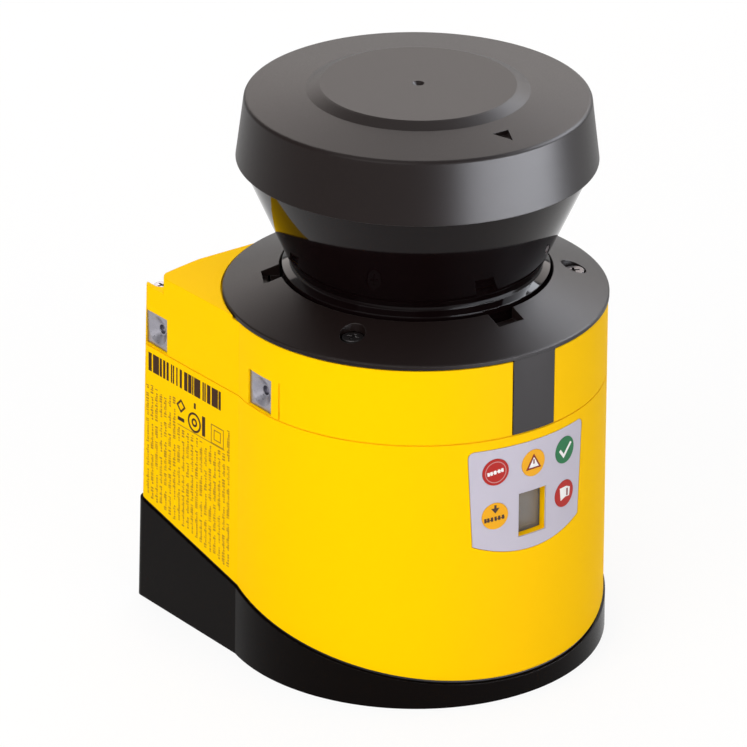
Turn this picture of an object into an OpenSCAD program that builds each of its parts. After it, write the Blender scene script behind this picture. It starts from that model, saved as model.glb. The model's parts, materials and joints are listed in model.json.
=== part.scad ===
// Safety laser scanner: a wedge-shaped connection base, a two-part housing, a conical optics cover
// under a round cap, and a spinning 45 degree mirror that sweeps the beam through the cover.
// Millimetres. +Z is up, the front faces -Y, and the mirror turns about the Z axis.

/* [Outline] */
// Radius of the round front at the underside
front_r = 51; // [48:0.5:56]
// How far the rear mounting plane lies beyond that radius
rear_step = 4; // [3:0.5:8]
// Step from that radius in to the side walls where they leave the round front
waist_in = 1.4; // [1.2:0.2:2.4]
// How far each side wall spreads from there to its rear corner
side_flare = 1.4; // [1:0.2:3]
// Radius of the rear corners in plan
corner_r = 2.5; // [1:0.5:5]
// How far the round front leans in over the housing's height
draft_r = 1; // [0:0.1:1.5]
// How far the rear wall leans in over the housing's height
draft_y = 2.8; // [0:0.2:3.4]

/* [Connection base] */
// Height of the base's sloping top at the mirror axis
slope_z = 17.7; // [16:0.1:20]
// Rise of the base's top per millimetre towards the rear
slope_k = 0.225; // [0.18:0.005:0.24]
// Wall thickness of the base
base_wall = 2.4; // [1.6:0.2:3]
// Half width of the cable recess at the rear
recess_w = 24; // [22:0.5:24]
// Depth of the cable recess from the rear plane
recess_d = 22; // [21:0.5:23]
// Height of the cable recess above the underside
recess_h = 21.5; // [21:0.5:22]

/* [Housing] */
// Height of the seam between the lower and the upper housing
seam_z = 74.3; // [72:0.1:76]
// Height of the upper housing above the seam
upper_h = 21.3; // [20.5:0.1:23]
// Wall thickness of the two housings
wall = 2.6; // [2:0.1:3]
// Step from the base's side in to the housing's side
housing_inset = 0.5; // [0.2:0.1:0.8]
// Thickness of the flat gasket on the base
gasket_t = 0.8; // [0.5:0.1:1.2]
// Drop from the top to the lower ledge behind it
ledge_drop = 4.6; // [3.6:0.1:5]
// Plan radius of the step above the ledge
ledge_r = 220; // [180:5:300]
// Distance from the rear plane to the step above the ledge
ledge_in = 5; // [4.4:0.1:5.4]

/* [Front panel] */
// Half width of the indicator panel at its top edge
panel_w = 18.2; // [17:0.2:19]
// Height of the indicator panel at its sides
panel_h = 26.5; // [25.5:0.1:27.5]
// Distance from the seam down to the panel's top edge
panel_drop = 3; // [2.4:0.1:4]
// How far the panel's lower edge bows down
panel_bow = 3.5; // [2.5:0.1:4]
// Radius of the round status lamps
lamp_r = 3.65; // [3:0.05:3.8]
// Spread of the lamps to each side
lamp_x = 11.3; // [11:0.1:11.8]
// Distance from the panel's top edge to the upper row of lamps
lamp_drop = 6.3; // [5.6:0.1:6.8]
// Distance between the two rows of lamps
lamp_pitch = 12.3; // [11.8:0.1:12.8]
// Half width of the display window
window_w = 4.4; // [3.6:0.1:4.6]
// Height of the display window
window_h = 12.3; // [11.5:0.1:12.6]
// Distance from the panel's top edge to the window
window_drop = 13.9; // [13.6:0.1:14.2]

/* [Optics cover and ring] */
// Step from the front's radius in to the ring plate's rim
ring_in = 1.2; // [1:0.1:1.6]
// Lift of the ring plate's rim above the housing's top
ring_lift = 0.6; // [0.6:0.1:1]
// Rise of the ring plate from its rim to its hole
ring_rise = 5.6; // [5:0.1:6.2]
// Clearance between the ring plate and the optics cover's neck
hole_gap = 1.2; // [1:0.1:1.5]
// Half width of the tongue that the ring plate sends down the front
tongue_w = 6.5; // [5.5:0.1:7.5]
// Radius of the optics cover at its waist, as a share of the front's radius
waist_k = 0.64; // [0.635:0.001:0.65]
// Rise from the ring plate's hole to the waist
waist_rise = 2.7; // [2.5:0.1:3.2]
// Height of the cone between the waist and the cap
cone_h = 28; // [27:0.1:29]
// Radius of the optics cover under the cap, as a share of the front's radius
cone_k = 0.884; // [0.875:0.001:0.895]
// Wall thickness of the optics cover
cover_t = 2; // [1.5:0.1:2.2]

/* [Cap] */
// How far the cap's lower rim stands out beyond the cone
cap_lip = 1.2; // [1:0.1:2.5]
// How far the cap's skirt leans in towards its upper edge
cap_lean = 2; // [1:0.1:2.4]
// Height of the cap's skirt
cap_h = 16.4; // [16:0.1:17]
// Radius of the raised centre, as a share of the cap's upper edge
crown_k = 0.564; // [0.55:0.001:0.6]
// Rise of the raised centre above the cap's upper edge
crown_h = 3.1; // [2.6:0.1:4]

/* [Mirror and motor] */
// Height of the scan plane above the waist, where the beam leaves the mirror
scan_rise = 11.5; // [11.3:0.1:11.9]
// Radius of the mirror's carrier
mirror_r = 15.6; // [13:0.2:16]
// Thickness of the mirror glass
mirror_t = 2; // [1.5:0.1:2.5]
// Radius of the spindle
spindle_r = 2.5; // [2:0.05:2.8]
// Outer radius of the two ball bearings
bearing_r = 5.5; // [5:0.1:6]
// Height of one bearing
bearing_h = 4; // [3.5:0.1:4]
// Number of stator teeth
teeth = 9; // [6:3:12]
// Number of slots in the encoder disc
encoder_slots = 36; // [24:4:48]

/* [Mounting] */
// Half the spacing of the rear mounting threads across the width
mount_x = 34; // [32:0.5:36]
// Height of the lower rear mounting threads
mount_low = 42; // [41:0.5:44]
// Distance from the seam down to the upper rear mounting threads
mount_drop = 8.3; // [8:0.1:12]
// Radius of the mounting threads' bores
mount_r = 2.5; // [2:0.1:3]
// Depth of the mounting threads
mount_depth = 8; // [6:0.5:9]
// Radius of the cable gland's passage
cable_r = 4; // [3:0.1:4.5]

/* [Hidden] */

eps = 0.01;                      // overrun of cuts through a face
fit = 0.05;                      // radial clearance of seated round pieces
gap = 0.3;                       // clearance between neighbouring pieces
far = 200;                       // larger than the whole part
fine = 96;                       // facets asked of large rounds

waist_w = front_r - waist_in;    // half width where the side walls leave the round front
side_w = waist_w + side_flare;   // half width across the rear corners
rear_y = front_r + rear_step;    // distance from the mirror axis to the rear mounting plane
ledge_y = rear_y - ledge_in;
slope_a = atan(slope_k);
body_r = front_r - housing_inset;

// heights, from the seam up
top_z = seam_z + upper_h;
form_h = top_z + 0.4;            // height over which the drafts are measured
ledge_z = top_z - ledge_drop;
ring_z = top_z + ring_lift;      // ring plate's rim
ring_hole_z = ring_z + ring_rise;
waist_z = ring_hole_z + waist_rise;
scan_z = waist_z + scan_rise;
cap_z = waist_z + cone_h;        // cap's lower rim
cap_edge_z = cap_z + cap_h;      // cap's upper edge
height = cap_edge_z + crown_h;

// radii of the head
ring_r = front_r - ring_in;
waist_r = front_r * waist_k;
cone_r = front_r * cone_k;
cap_r = cone_r + cap_lip;
cap_top_r = cap_r - cap_lean;
crown_r = cap_top_r * crown_k;

// heights on the front panel, from the seam down
panel_top = seam_z - panel_drop;
panel_low = panel_top - panel_h; // lower corners
lamp_high = panel_top - lamp_drop;
lamp_low = lamp_high - lamp_pitch;
lamp_angle = asin(lamp_x / body_r);
window_high = panel_top - window_drop;
window_low = window_high - window_h;
mount_high = seam_z - mount_drop;

deck_top = top_z - 1;            // floor of the round recess in the upper housing's top
deck_step = deck_top - 2;        // seat of the optics cover's seal
deck_z = deck_top - 5;           // underside of the upper housing's deck
seal_t = 0.6;
foot_h = 2;                      // height of the optics cover's foot flange
neck_r = waist_r + 1.2;          // outer radius of the cover's neck below the waist
ring_hole_r = neck_r + hole_gap;
foot_r = ring_hole_r + 4;        // radius of the cover's foot flange
frame_r = ring_hole_r + 2.4;     // radius of the optics frame's ring
frame_t = 3;
column_r = waist_r - cover_t - 0.8;
column_t = 5.4;
column_half = 33;                // half angle of the frame's rear column
ring_t = 2;
ring_k = (ring_hole_z - ring_z) / (ring_r - ring_hole_r);
rim_t = ring_z - deck_top - 0.4; // thickness of the ring plate's rim, over a shadow gap
ring_screw_r = foot_r + 1.9;     // the ring plate's screws stand just outside the foot
ring_screw_angles = [60, 180, 300];
ring_seat = deck_top + 2.4;      // floor of the ring screws' recesses
notch_angles = [0, 120, 240];
fixing_r = front_r - 6;          // radius of the four vertical housing fixings
fixing_angles = [40, 140, 220, 320];
column_boss_r = 3.9;
screw_r = 2;
head_r = 3.6;
base_screw_h = 30;
base_pocket = 5;                 // depth of the base screws' head pockets
floor_t = 3;
panel_t = 0.6;
panel_corner = 1.6;              // radius of the panel's upper corners
panel_taper = 1.6;               // how much narrower the panel is at its foot, to each side
insert_size = 9.6;
insert_t = 3.4;
dish_d = 1.5;                    // depth of the dished recess in each insert
insert_ys = [0, rear_y - 9];
mark_angle = 81;                 // the fine upright groove in front of each front insert
corner_head_r = 2.3;             // head of the small screws on the rear ledge
corner_head_h = 1.2;
corner_x = side_w - 5.5;
corner_y = rear_y - 6.2;
corner_seat = ledge_z - 1.8;     // floor of their pockets, which open to the rear
corner_length = 4.2;             // the shafts stay above the side inserts
step_r = 11;                     // plan radius of the step's two corners
step_in = 2.8;                   // from the middle of the step to where those corners end
insert_face = body_r - draft_r * seam_z / form_h - 0.8;
board_t = 1.6;
board_z = 38;                    // underside of the main board
barrel_top = deck_z - frame_t;
barrel_t = 2.6;
barrel_z = 52;                   // underside of the lens barrel
lens_r = column_r - column_t - 3.6;
lens_seat = barrel_top - 1.6;
lens_edge = 2;
lens_rise = 5;
tube_r = 5;
tube_top = scan_z - mirror_r - 3.4;
tube_foot = lens_seat - 8;
plate_z = cap_z + 2;             // underside of the motor plate
plate_t = 2.6;
plate_r = waist_r - cover_t - 0.4;
hub_r = bearing_r + 2.7;
hub_z = plate_z - 2.4;
hub_top = hub_z + 2 * bearing_h + 3.4;
bearing_low = hub_z + 0.4;
bearing_high = hub_top - bearing_h - 0.4;
motor_board_z = plate_z + plate_t;
motor_board_t = 1.2;
stator_z = motor_board_z + motor_board_t + 0.6;
stator_h = 4.2;
stator_r = 0.47 * column_r;
magnet_r = stator_r + 0.5;
bell_r = magnet_r + 2.8;
bell_t = 1.4;
press = 0.03;                    // step in of the bores that hold the spindle
slot_l = 1.8;                    // length of the encoder disc's slots
slot_w = 1.2;
bell_z = motor_board_z + motor_board_t + 0.6;
bell_top = hub_top + 3;
disc_r = bell_r + 4.4;
disc_t = 0.6;
spindle_top = bell_top + 2;
carrier_top = hub_z - 1.2;
spindle_foot = scan_z + mirror_t * sqrt(2) + spindle_r + 0.6;   // clear of the mirror's back
display_y = body_r - draft_r * window_high / form_h - wall - 0.5;
pane_t = 0.8;
pane_lap = 1.5;                  // how far the pane overlaps the window all round
lamp_t = 1.6;                    // how far the lamps reach in behind the wall
module_t = 4.4;
module_y = display_y - pane_t - module_t;
terminal_z = 7;                  // top of the terminal board's bosses
terminal_w = 24;                 // half width of the terminal board
terminal_front = 36;
terminal_back = 26;
terminal_edge = 5;               // from the board's edges in to its screws
terminal_pitch = 8;
plug_w = 16;                     // half width of the plug between the base and the main board
plug_d = 4;                      // half depth of that plug
plug_y = 14;
socket_rim = 3;
socket_h = 6.4;
pcb_r = front_r - 11.5;          // main board's radius, cut straight in front and behind
pcb_front = 36;
pcb_back = 38;
standoff_x = 27;
standoff_y = 20;
indicator_w = panel_w - 0.7;     // half width of the indicator board
indicator_low = panel_low - 3.8;
boss_x = indicator_w - 2.5;
boss_z = lamp_high - 6;
module_w = 6;                    // half width of the display module
led_w = 3;
frame_fix_r = frame_r - 3;       // radius of the optics frame's screws
plate_fix_r = plate_r - 4.8;
gland_x = -11.5;
blank_x = 13;                    // axis of the blanking plug
entry_z = 11.6;
gland_r = 8;
blank_r = 6;
recess_y = rear_y - recess_d;
lamp_axes = [[-lamp_angle, lamp_high], [0, lamp_high], [lamp_angle, lamp_high],
    [-lamp_angle, lamp_low], [lamp_angle, lamp_low]];

// ---- shared forms ----

function form_r(z) = front_r - draft_r * z / form_h;

// A list of points, followed by its mirror image in reverse order
function both_sides(points) =
    concat(points, [for (i = [len(points) - 1:-1:0]) [-points[i][0], points[i][1]]]);

// Points of a quarter round of radius r that ends in the corner's two walls x = x1 and y = y1
function corner_arc(x1, y1, r) = [for (a = [0:15:90]) [x1 - r + r * cos(a), y1 - r + r * sin(a)]];

// Plan behind the mirror axis: walls from x = k that spread to w, and two corners of radius r
module round_plan(w, y, k, r) {
    polygon(both_sides(concat([[k, 0]], corner_arc(w, y, r))));
}

// The outer form, stepped in by d: a round front and a block behind it
module form(d, z0, z1) {
    intersection() {
        union() {
            cylinder(h = form_h, r1 = form_r(0) - d, r2 = form_r(form_h) - d, $fn = fine);
            hull() {
                linear_extrude(height = eps) round_plan(side_w - d, rear_y - d, waist_w - d, corner_r);
                translate([0, 0, form_h - eps]) linear_extrude(height = eps)
                    round_plan(side_w - draft_r - d, rear_y - draft_y - d, waist_w - draft_r - d, corner_r);
            }
        }
        translate([-far / 2, -far / 2, z0]) cube([far, far, z1 - z0]);
    }
}

// Everything below the sloping joint, raised by dz
module below_slope(dz) {
    translate([0, 0, slope_z + dz]) rotate([slope_a, 0, 0])
        translate([-far / 2, -far / 2, -far]) cube([far, far, far]);
}

module at_fixings() {
    for (a = fixing_angles) rotate([0, 0, a]) translate([0, -fixing_r, 0]) children();
}

module at_terminal_screws() {
    for (x = [-1, 1], y = [terminal_edge - terminal_front, terminal_back - terminal_edge + 1])
        translate([x * (terminal_w - terminal_edge), y, 0]) children();
}

module at_standoffs() {
    for (x = [-standoff_x, standoff_x], y = [-standoff_y, standoff_y]) translate([x, y, 0]) children();
}

module at_frame_screws(z) {
    for (a = [45:90:315]) rotate([0, 0, a]) translate([0, -frame_fix_r, z]) children();
}

module at_ring_screws(z) {
    for (a = ring_screw_angles) rotate([0, 0, a]) translate([0, -ring_screw_r, z]) children();
}

// The two rear corner screws' axes
module at_corners(z) {
    for (side = [-1, 1]) translate([side * corner_x, corner_y, z]) children();
}

// The indicator board's fixing axes at depth y, with +Z pointing forward
module at_panel_bosses(y) {
    for (x = [-boss_x, boss_x]) translate([x, -y, boss_z]) rotate([90, 0, 0]) children();
}

// All that lies in front of the plane y = -y0, between x = -w and w, from z0 up
module front_slot(w, y0, z0, h) {
    translate([-w, -far / 2, z0]) cube([2 * w, far / 2 - y0, h]);
}

// Places children on the front wall, with their +Z pointing straight out of it
module on_front(angle, z) {
    rotate([0, 0, angle]) translate([0, 0, z]) rotate([90, 0, 0]) children();
}

module tube(z0, z1, r_out, r_in, sides = 64) {
    translate([0, 0, z0]) difference() {
        cylinder(h = z1 - z0, r = r_out, $fn = sides);
        translate([0, 0, -eps]) cylinder(h = z1 - z0 + 2 * eps, r = r_in, $fn = sides);
    }
}

// Pan head screw, head up, with its seat at z = 0 and a cross recess
module screw(r, head, head_h, length) {
    difference() {
        union() {
            cylinder(h = head_h, r = head, $fn = 32);
            translate([0, 0, -length]) cylinder(h = length + eps, r = r, $fn = 32);
        }
        for (a = [0, 90]) rotate([0, 0, a])
            translate([-head * 0.6, -head * 0.13, head_h * 0.5]) cube([head * 1.2, head * 0.26, head_h]);
    }
}

// ---- connection base ----

module recess_cut(w, d, h) {
    translate([-w, rear_y - d, -1]) cube([2 * w, d + 10, h + 1]);
}

module connection_base() color([0.07, 0.07, 0.08]) {
    entry_wall = recess_d + base_wall;
    difference() {
        union() {
            difference() {
                form(0, 0, form_h / 2);
                difference() {
                    form(base_wall, base_wall, form_h / 2);
                    recess_cut(recess_w + base_wall, entry_wall, recess_h + base_wall);
                }
            }
            at_fixings() cylinder(h = form_h / 2, r = column_boss_r + 0.6, $fn = 32);
            at_terminal_screws() cylinder(h = terminal_z, r = 3, $fn = 24);
        }
        difference() {
            translate([-far / 2, -far / 2, -far / 2]) cube([far, far, far]);
            below_slope(-gasket_t);
        }
        recess_cut(recess_w, recess_d, recess_h);
        at_fixings() {
            translate([0, 0, -eps]) cylinder(h = base_pocket, r = head_r + 0.4, $fn = 32);
            cylinder(h = far, r = screw_r + gap, $fn = 32);
        }
        for (e = [[gland_x, gland_r], [blank_x, blank_r]])
            translate([e[0], recess_y + 1, entry_z]) rotate([90, 0, 0])
                cylinder(h = base_wall + 4, r = e[1] + fit, $fn = 48);
        at_terminal_screws() translate([0, 0, base_wall]) cylinder(h = terminal_z, r = 1.1, $fn = 24);
    }
}

module base_gasket() color([0.12, 0.12, 0.12]) {
    difference() {
        form(0.9, 0, form_h / 2);
        form(base_wall + 0.6, -1, form_h);
        below_slope(-gasket_t);
        difference() {
            translate([-far / 2, -far / 2, -far / 2]) cube([far, far, far]);
            below_slope(0);
        }
    }
}

module base_screws() color("silver") {
    at_fixings() translate([0, 0, base_pocket - eps]) rotate([180, 0, 0])
        screw(screw_r, head_r, 2.6, base_screw_h);
}

module terminal_board() color([0.05, 0.35, 0.18]) {
    difference() {
        translate([-terminal_w, -terminal_front, terminal_z])
            cube([2 * terminal_w, terminal_front + terminal_back, board_t]);
        at_terminal_screws() translate([0, 0, terminal_z - 1]) cylinder(h = 4, r = 1.6, $fn = 24);
    }
    for (i = [0:4]) translate([terminal_pitch * (i - 2.5), -11, terminal_z + board_t - eps]) difference() {
        cube([7.4, 9, 6]);
        translate([1.6, -1, 1.2]) cube([4.2, 6, 3.2]);
        translate([3.7, 6.6, 2]) cylinder(h = 6, r = 1.5, $fn = 20);
    }
}

module terminal_socket() color([0.1, 0.1, 0.11]) {
    outer = [2 * (plug_w + socket_rim), 2 * (plug_d + socket_rim), socket_h];
    inner = [2 * (plug_w + gap), 2 * (plug_d + gap), socket_h];
    translate([0, plug_y, terminal_z + board_t]) difference() {
        translate([-outer[0] / 2, -outer[1] / 2, 0]) cube(outer);
        translate([-inner[0] / 2, -inner[1] / 2, 1.6]) cube(inner);
    }
}

// ---- cable entries ----

module entry_axis(x) {
    translate([x, recess_y, entry_z]) rotate([-90, 0, 0]) children();
}

module cable_gland() color([0.16, 0.16, 0.17]) {
    entry_axis(gland_x) difference() {
        union() {
            translate([0, 0, -base_wall - 2.4]) cylinder(h = base_wall + 2.4, r = gland_r, $fn = 48);
            cylinder(h = 4.5, r = 10.6, $fn = 6);
            translate([0, 0, 4.5 - eps]) cylinder(h = 6, r = gland_r - 0.6, $fn = 48);
        }
        translate([0, 0, -base_wall - 3]) cylinder(h = 20, r = cable_r + 1, $fn = 48);
        translate([0, 0, 3]) cylinder(h = 20, r = cable_r + 2, $fn = 48);
    }
}

module gland_nut() color([0.16, 0.16, 0.17]) {
    entry_axis(gland_x) translate([0, 0, 5]) difference() {
        union() {
            cylinder(h = 7, r = 10, $fn = 6);
            translate([0, 0, 7 - eps]) cylinder(h = 4.5, r1 = 8.4, r2 = 6.6, $fn = 48);
        }
        translate([0, 0, -eps]) cylinder(h = 6, r = gland_r - 0.6 + fit, $fn = 48);
        cylinder(h = 20, r = cable_r + 1, $fn = 48);
    }
}

module gland_seal() color([0.3, 0.3, 0.32]) {
    entry_axis(gland_x) translate([0, 0, 3]) difference() {
        cylinder(h = 7.5, r = cable_r + 2 - fit, $fn = 48);
        translate([0, 0, -eps]) cylinder(h = 8, r = cable_r, $fn = 48);
    }
}

module blanking_plug() color([0.16, 0.16, 0.17]) {
    entry_axis(blank_x) difference() {
        union() {
            translate([0, 0, -base_wall - 3]) cylinder(h = base_wall + 3, r = blank_r, $fn = 48);
            cylinder(h = 3.4, r = 8.4, $fn = 6);
        }
        translate([0, 0, 1.4]) cylinder(h = 4, r = 4, $fn = 32);
        translate([-3, -0.6, 0.4]) cube([6, 1.2, 3]);
    }
}

// ---- lower housing ----

// Outline of the indicator panel, as seen from the front
module panel_outline(g) {
    bow_r = (panel_w * panel_w * 0.85 + panel_bow * panel_bow) / (2 * panel_bow);
    foot = [panel_w - panel_taper + g, panel_low - 2 * panel_bow];
    intersection() {
        polygon(both_sides(concat([foot], corner_arc(panel_w + g, panel_top + g, panel_corner + g))));
        translate([0, panel_low - panel_bow + bow_r]) circle(r = bow_r + g, $fn = fine);
    }
}

module panel_prism(g) {
    translate([0, -front_r / 2, 0]) rotate([90, 0, 0]) linear_extrude(height = front_r) panel_outline(g);
}

module lamp_cuts() {
    for (p = lamp_axes) on_front(p[0], p[1])
        translate([0, 0, body_r - wall - lamp_t - 5]) cylinder(h = far, r = lamp_r + fit, $fn = 48);
}

module at_mounts() {
    for (x = [-mount_x, mount_x], z = [mount_low, mount_high])
        translate([x, rear_y, z]) rotate([90, 0, 0]) children();
}

module round_skin(d) {
    cylinder(h = form_h, r1 = form_r(0) - d, r2 = form_r(form_h) - d, $fn = fine);
}

module lower_housing() color([1, 0.84, 0]) {
    difference() {
        union() {
            difference() {
                form(housing_inset, 0, seam_z);
                difference() {
                    form(housing_inset + wall, 0, seam_z + 1);
                    below_slope(floor_t);
                }
            }
            at_fixings() cylinder(h = seam_z, r = column_boss_r, $fn = 32);
            at_mounts() cylinder(h = mount_depth + 5, r = 7, $fn = 48);
            at_panel_bosses(module_y + board_t) cylinder(h = 4, r = 2, $fn = 24);
        }
        below_slope(0);
        difference() {
            panel_prism(0.15);
            round_skin(housing_inset + panel_t);
        }
        front_slot(window_w, display_y - 1, window_low, window_h);
        translate([-module_w - gap, -display_y, window_low - pane_lap - 0.1])
            cube([2 * (module_w + gap), 8, window_h + 2 * pane_lap + 0.2]);
        lamp_cuts();
        at_mounts() translate([0, 0, -eps]) cylinder(h = mount_depth + 2 + 2 * eps, r = 4.5 + fit, $fn = 48);
        at_fixings() {
            cylinder(h = base_screw_h + 6, r = screw_r + fit, $fn = 32);
            translate([0, 0, seam_z - 12]) cylinder(h = 20, r = screw_r + fit, $fn = 32);
        }
        translate([-plug_w - 1.5, plug_y - plug_d - 2, 0]) cube([2 * plug_w + 3, 2 * plug_d + 4, board_z]);
        at_panel_bosses(module_y + board_t) translate([0, 0, -eps]) cylinder(h = 2.5, r = 0.9, $fn = 24);
        difference() {
            form(housing_inset + 0.9, seam_z - 1, seam_z + 1);
            form(housing_inset + 1.8, seam_z - 2, seam_z + 2);
        }
        difference() {
            translate([-far / 2, -far / 2, seam_z - 0.35]) cube([far, far, 2]);
            form(housing_inset + 0.35, seam_z - 1, seam_z + 3);
        }
    }
}

module housing_gasket() color([0.12, 0.12, 0.12]) {
    difference() {
        form(housing_inset + 0.95, seam_z - 1, seam_z);
        form(housing_inset + 1.75, seam_z - 2, seam_z + 1);
    }
}

module mounting_inserts() color([0.78, 0.68, 0.38]) {
    at_mounts() difference() {
        cylinder(h = mount_depth + 2, r = 4.5, $fn = 48);
        translate([0, 0, -eps]) cylinder(h = mount_depth, r = mount_r, $fn = 48);
    }
}

// ---- front panel ----

module display_panel() color([0.77, 0.75, 0.82]) {
    difference() {
        intersection() {
            panel_prism(0);
            difference() {
                round_skin(housing_inset + 0.05);
                round_skin(housing_inset + panel_t);
            }
        }
        front_slot(window_w, 0, window_low, window_h);
        lamp_cuts();
    }
}

module lamp(i) {
    intersection() {
        on_front(lamp_axes[i][0], lamp_axes[i][1])
            translate([0, 0, body_r - wall - lamp_t]) cylinder(h = far, r = lamp_r, $fn = 48);
        round_skin(housing_inset - 0.05);
    }
}

module stop_lamp() color([0.73, 0.14, 0.1]) lamp(0);
module warning_lamp() color([0.96, 0.66, 0.04]) lamp(1);
module clear_lamp() color([0.16, 0.49, 0.29]) lamp(2);
module cleaning_lamp() color([0.96, 0.66, 0.04]) lamp(3);
module service_lamp() color([0.73, 0.14, 0.1]) lamp(4);

module display_window() color([0.6, 0.58, 0.56, 0.7]) {
    translate([-module_w - 0.2, -display_y, window_low - pane_lap])
        cube([2 * module_w + 0.4, pane_t, window_h + 2 * pane_lap]);
}

module display_module() color([0.2, 0.2, 0.2]) {
    edge = 1.6;
    translate([-module_w, -display_y + pane_t, window_low - pane_lap + gap]) difference() {
        cube([2 * module_w, module_t, window_h + 2 * (pane_lap - gap)]);
        translate([edge, -eps, edge])
            cube([2 * (module_w - edge), 0.4, window_h + 2 * (pane_lap - gap - edge)]);
    }
}

module indicator_board() color([0.05, 0.35, 0.18]) {
    led_reach = 3;
    difference() {
        translate([-indicator_w, -module_y, indicator_low])
            cube([2 * indicator_w, board_t, panel_top - indicator_low - gap]);
        at_panel_bosses(module_y - board_t - 1) cylinder(h = board_t + 2, r = 1, $fn = 24);
    }
    for (p = lamp_axes)
        translate([body_r * sin(p[0]) * 0.94 - led_w / 2, -module_y - led_reach, p[1] - led_w / 2])
            cube([led_w, led_reach + eps, led_w]);
}

// ---- upper housing ----

module insert_pocket(y, g) {
    translate([insert_face - insert_t - g, y - insert_size / 2 - g, seam_z + 0.2 - g])
        cube([far, insert_size + 2 * g, insert_size + 2 * g]);
}

module upper_housing() color([1, 0.84, 0]) {
    block_d = insert_t + 2.2;
    block_w = insert_size + 5.4;
    difference() {
        union() {
            difference() {
                form(housing_inset, seam_z, top_z);
                form(housing_inset + wall, seam_z - 1, deck_z);
            }
            intersection() {
                form(housing_inset + 0.5, seam_z, deck_z + 1);
                for (side = [0, 1], y = insert_ys) mirror([side, 0, 0])
                    translate([insert_face - block_d, y - block_w / 2, seam_z])
                        cube([far, block_w, insert_size + 3.4]);
            }
            at_fixings() translate([0, 0, seam_z])
                cylinder(h = deck_z - seam_z + 1, r = column_boss_r, $fn = 32);
        }
        translate([0, 0, deck_top]) cylinder(h = 10, r = ring_r + 0.4, $fn = fine);
        translate([0, 0, deck_step]) cylinder(h = 10, r = foot_r + gap, $fn = fine);
        translate([0, 0, deck_z - 1]) cylinder(h = 10, r = neck_r - cover_t, $fn = fine);
        for (side = [0, 1], y = insert_ys) mirror([side, 0, 0]) insert_pocket(y, fit);
        at_corners(corner_seat) {
            translate([0, 0, -corner_length - 0.2]) cylinder(h = far, r = 1.2 + fit, $fn = 24);
            cylinder(h = far, r = corner_head_r + gap, $fn = 32);
            translate([-corner_head_r - gap, 0, 0]) cube([2 * (corner_head_r + gap), far, far]);
        }
        for (a = [-mark_angle, mark_angle]) rotate([0, 0, a])
            front_slot(0.25, body_r - 1.2, seam_z, insert_size + 0.6);
        difference() {
            translate([-far / 2, 0, ledge_z]) cube([far, far, far]);
            intersection() {
                translate([0, ledge_y - ledge_r, 0]) cylinder(h = far, r = ledge_r, $fn = 2 * fine);
                linear_extrude(height = far)
                    round_plan(side_w + 0.5, ledge_y - step_in, side_w + 0.5, step_r);
            }
        }
        at_fixings() {
            cylinder(h = far, r = screw_r + gap, $fn = 32);
            translate([0, 0, deck_top - 2.4]) cylinder(h = 10, r = head_r - 0.6 + gap, $fn = 32);
        }
        at_ring_screws(deck_z - 1) cylinder(h = far, r = 1.5 + fit, $fn = 24);
        at_frame_screws(deck_z - 1) cylinder(h = 2.6, r = 1.5 + fit, $fn = 24);
        front_slot(tongue_w + 0.2, body_r - draft_r - 2.2, seam_z - 1, far);
    }
}

module housing_screws() color("silver") {
    at_fixings() translate([0, 0, deck_top - 2.4]) screw(screw_r, head_r - 0.6, 2.2, deck_top - seam_z + 7);
}

module side_inserts() color([0.72, 0.72, 0.74]) {
    for (side = [0, 1], y = insert_ys) mirror([side, 0, 0])
        translate([insert_face - insert_t, y, seam_z + 0.2 + insert_size / 2]) difference() {
            translate([0, -insert_size / 2, -insert_size / 2]) cube([insert_t, insert_size, insert_size]);
            rotate([0, 90, 0]) translate([0, 0, insert_t - dish_d])
                cylinder(h = dish_d + eps, r1 = 1.6, r2 = insert_size / 2 - 0.8, $fn = 48);
            rotate([0, 90, 0]) translate([0, 0, insert_t - 2.8]) cylinder(h = far, r = 1.3, $fn = 32);
        }
}

module corner_screws() color([0.72, 0.72, 0.74]) {
    at_corners(corner_seat) screw(1.2, corner_head_r, corner_head_h, corner_length);
}

// ---- electronics ----

module main_board() color([0.05, 0.35, 0.18]) {
    translate([0, 0, board_z]) difference() {
        union() {
            intersection() {
                cylinder(h = board_t, r = pcb_r, $fn = fine);
                translate([-far / 2, -pcb_front, 0]) cube([far, pcb_front + pcb_back, board_t]);
            }
            translate([-22, -26, board_t - eps]) cube([14, 14, 1.6]);
            translate([8, -24, board_t - eps]) cube([10, 12, 2]);
            translate([-20, 20, board_t - eps]) cube([12, 9, 5]);
            for (x = [4, 13]) translate([x + 4, 25, board_t - eps]) cylinder(h = 8, r = 3.6, $fn = 32);
        }
        at_standoffs() translate([0, 0, -1]) cylinder(h = board_t + 2, r = 1.6, $fn = 24);
    }
}

module board_standoffs() color([0.78, 0.68, 0.38]) {
    difference() {
        at_standoffs() translate([0, 0, slope_z]) union() {
            cylinder(h = board_z - slope_z, r = 3, $fn = 6);
            cylinder(h = board_z - slope_z + board_t + 1.4, r = 1.5, $fn = 24);
        }
        below_slope(floor_t);
    }
}

module main_plug() color([0.1, 0.1, 0.11]) {
    foot_z = terminal_z + board_t + 2.4;
    translate([-plug_w, plug_y - plug_d, foot_z]) cube([2 * plug_w, 2 * plug_d, board_z - foot_z]);
}

module board_link() color([0.1, 0.1, 0.11]) {
    translate([-9, plug_y - 1, board_z + board_t]) cube([18, 3, barrel_z - 2 * board_t - board_z]);
}

module receiver_board() color([0.05, 0.35, 0.18]) {
    translate([0, 0, barrel_z - board_t]) cylinder(h = board_t, r = lens_r - 2.4, $fn = 64);
    translate([0, 0, barrel_z - eps]) cylinder(h = 3, r = 4.2, $fn = 48);
}

// ---- optics ----

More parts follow.
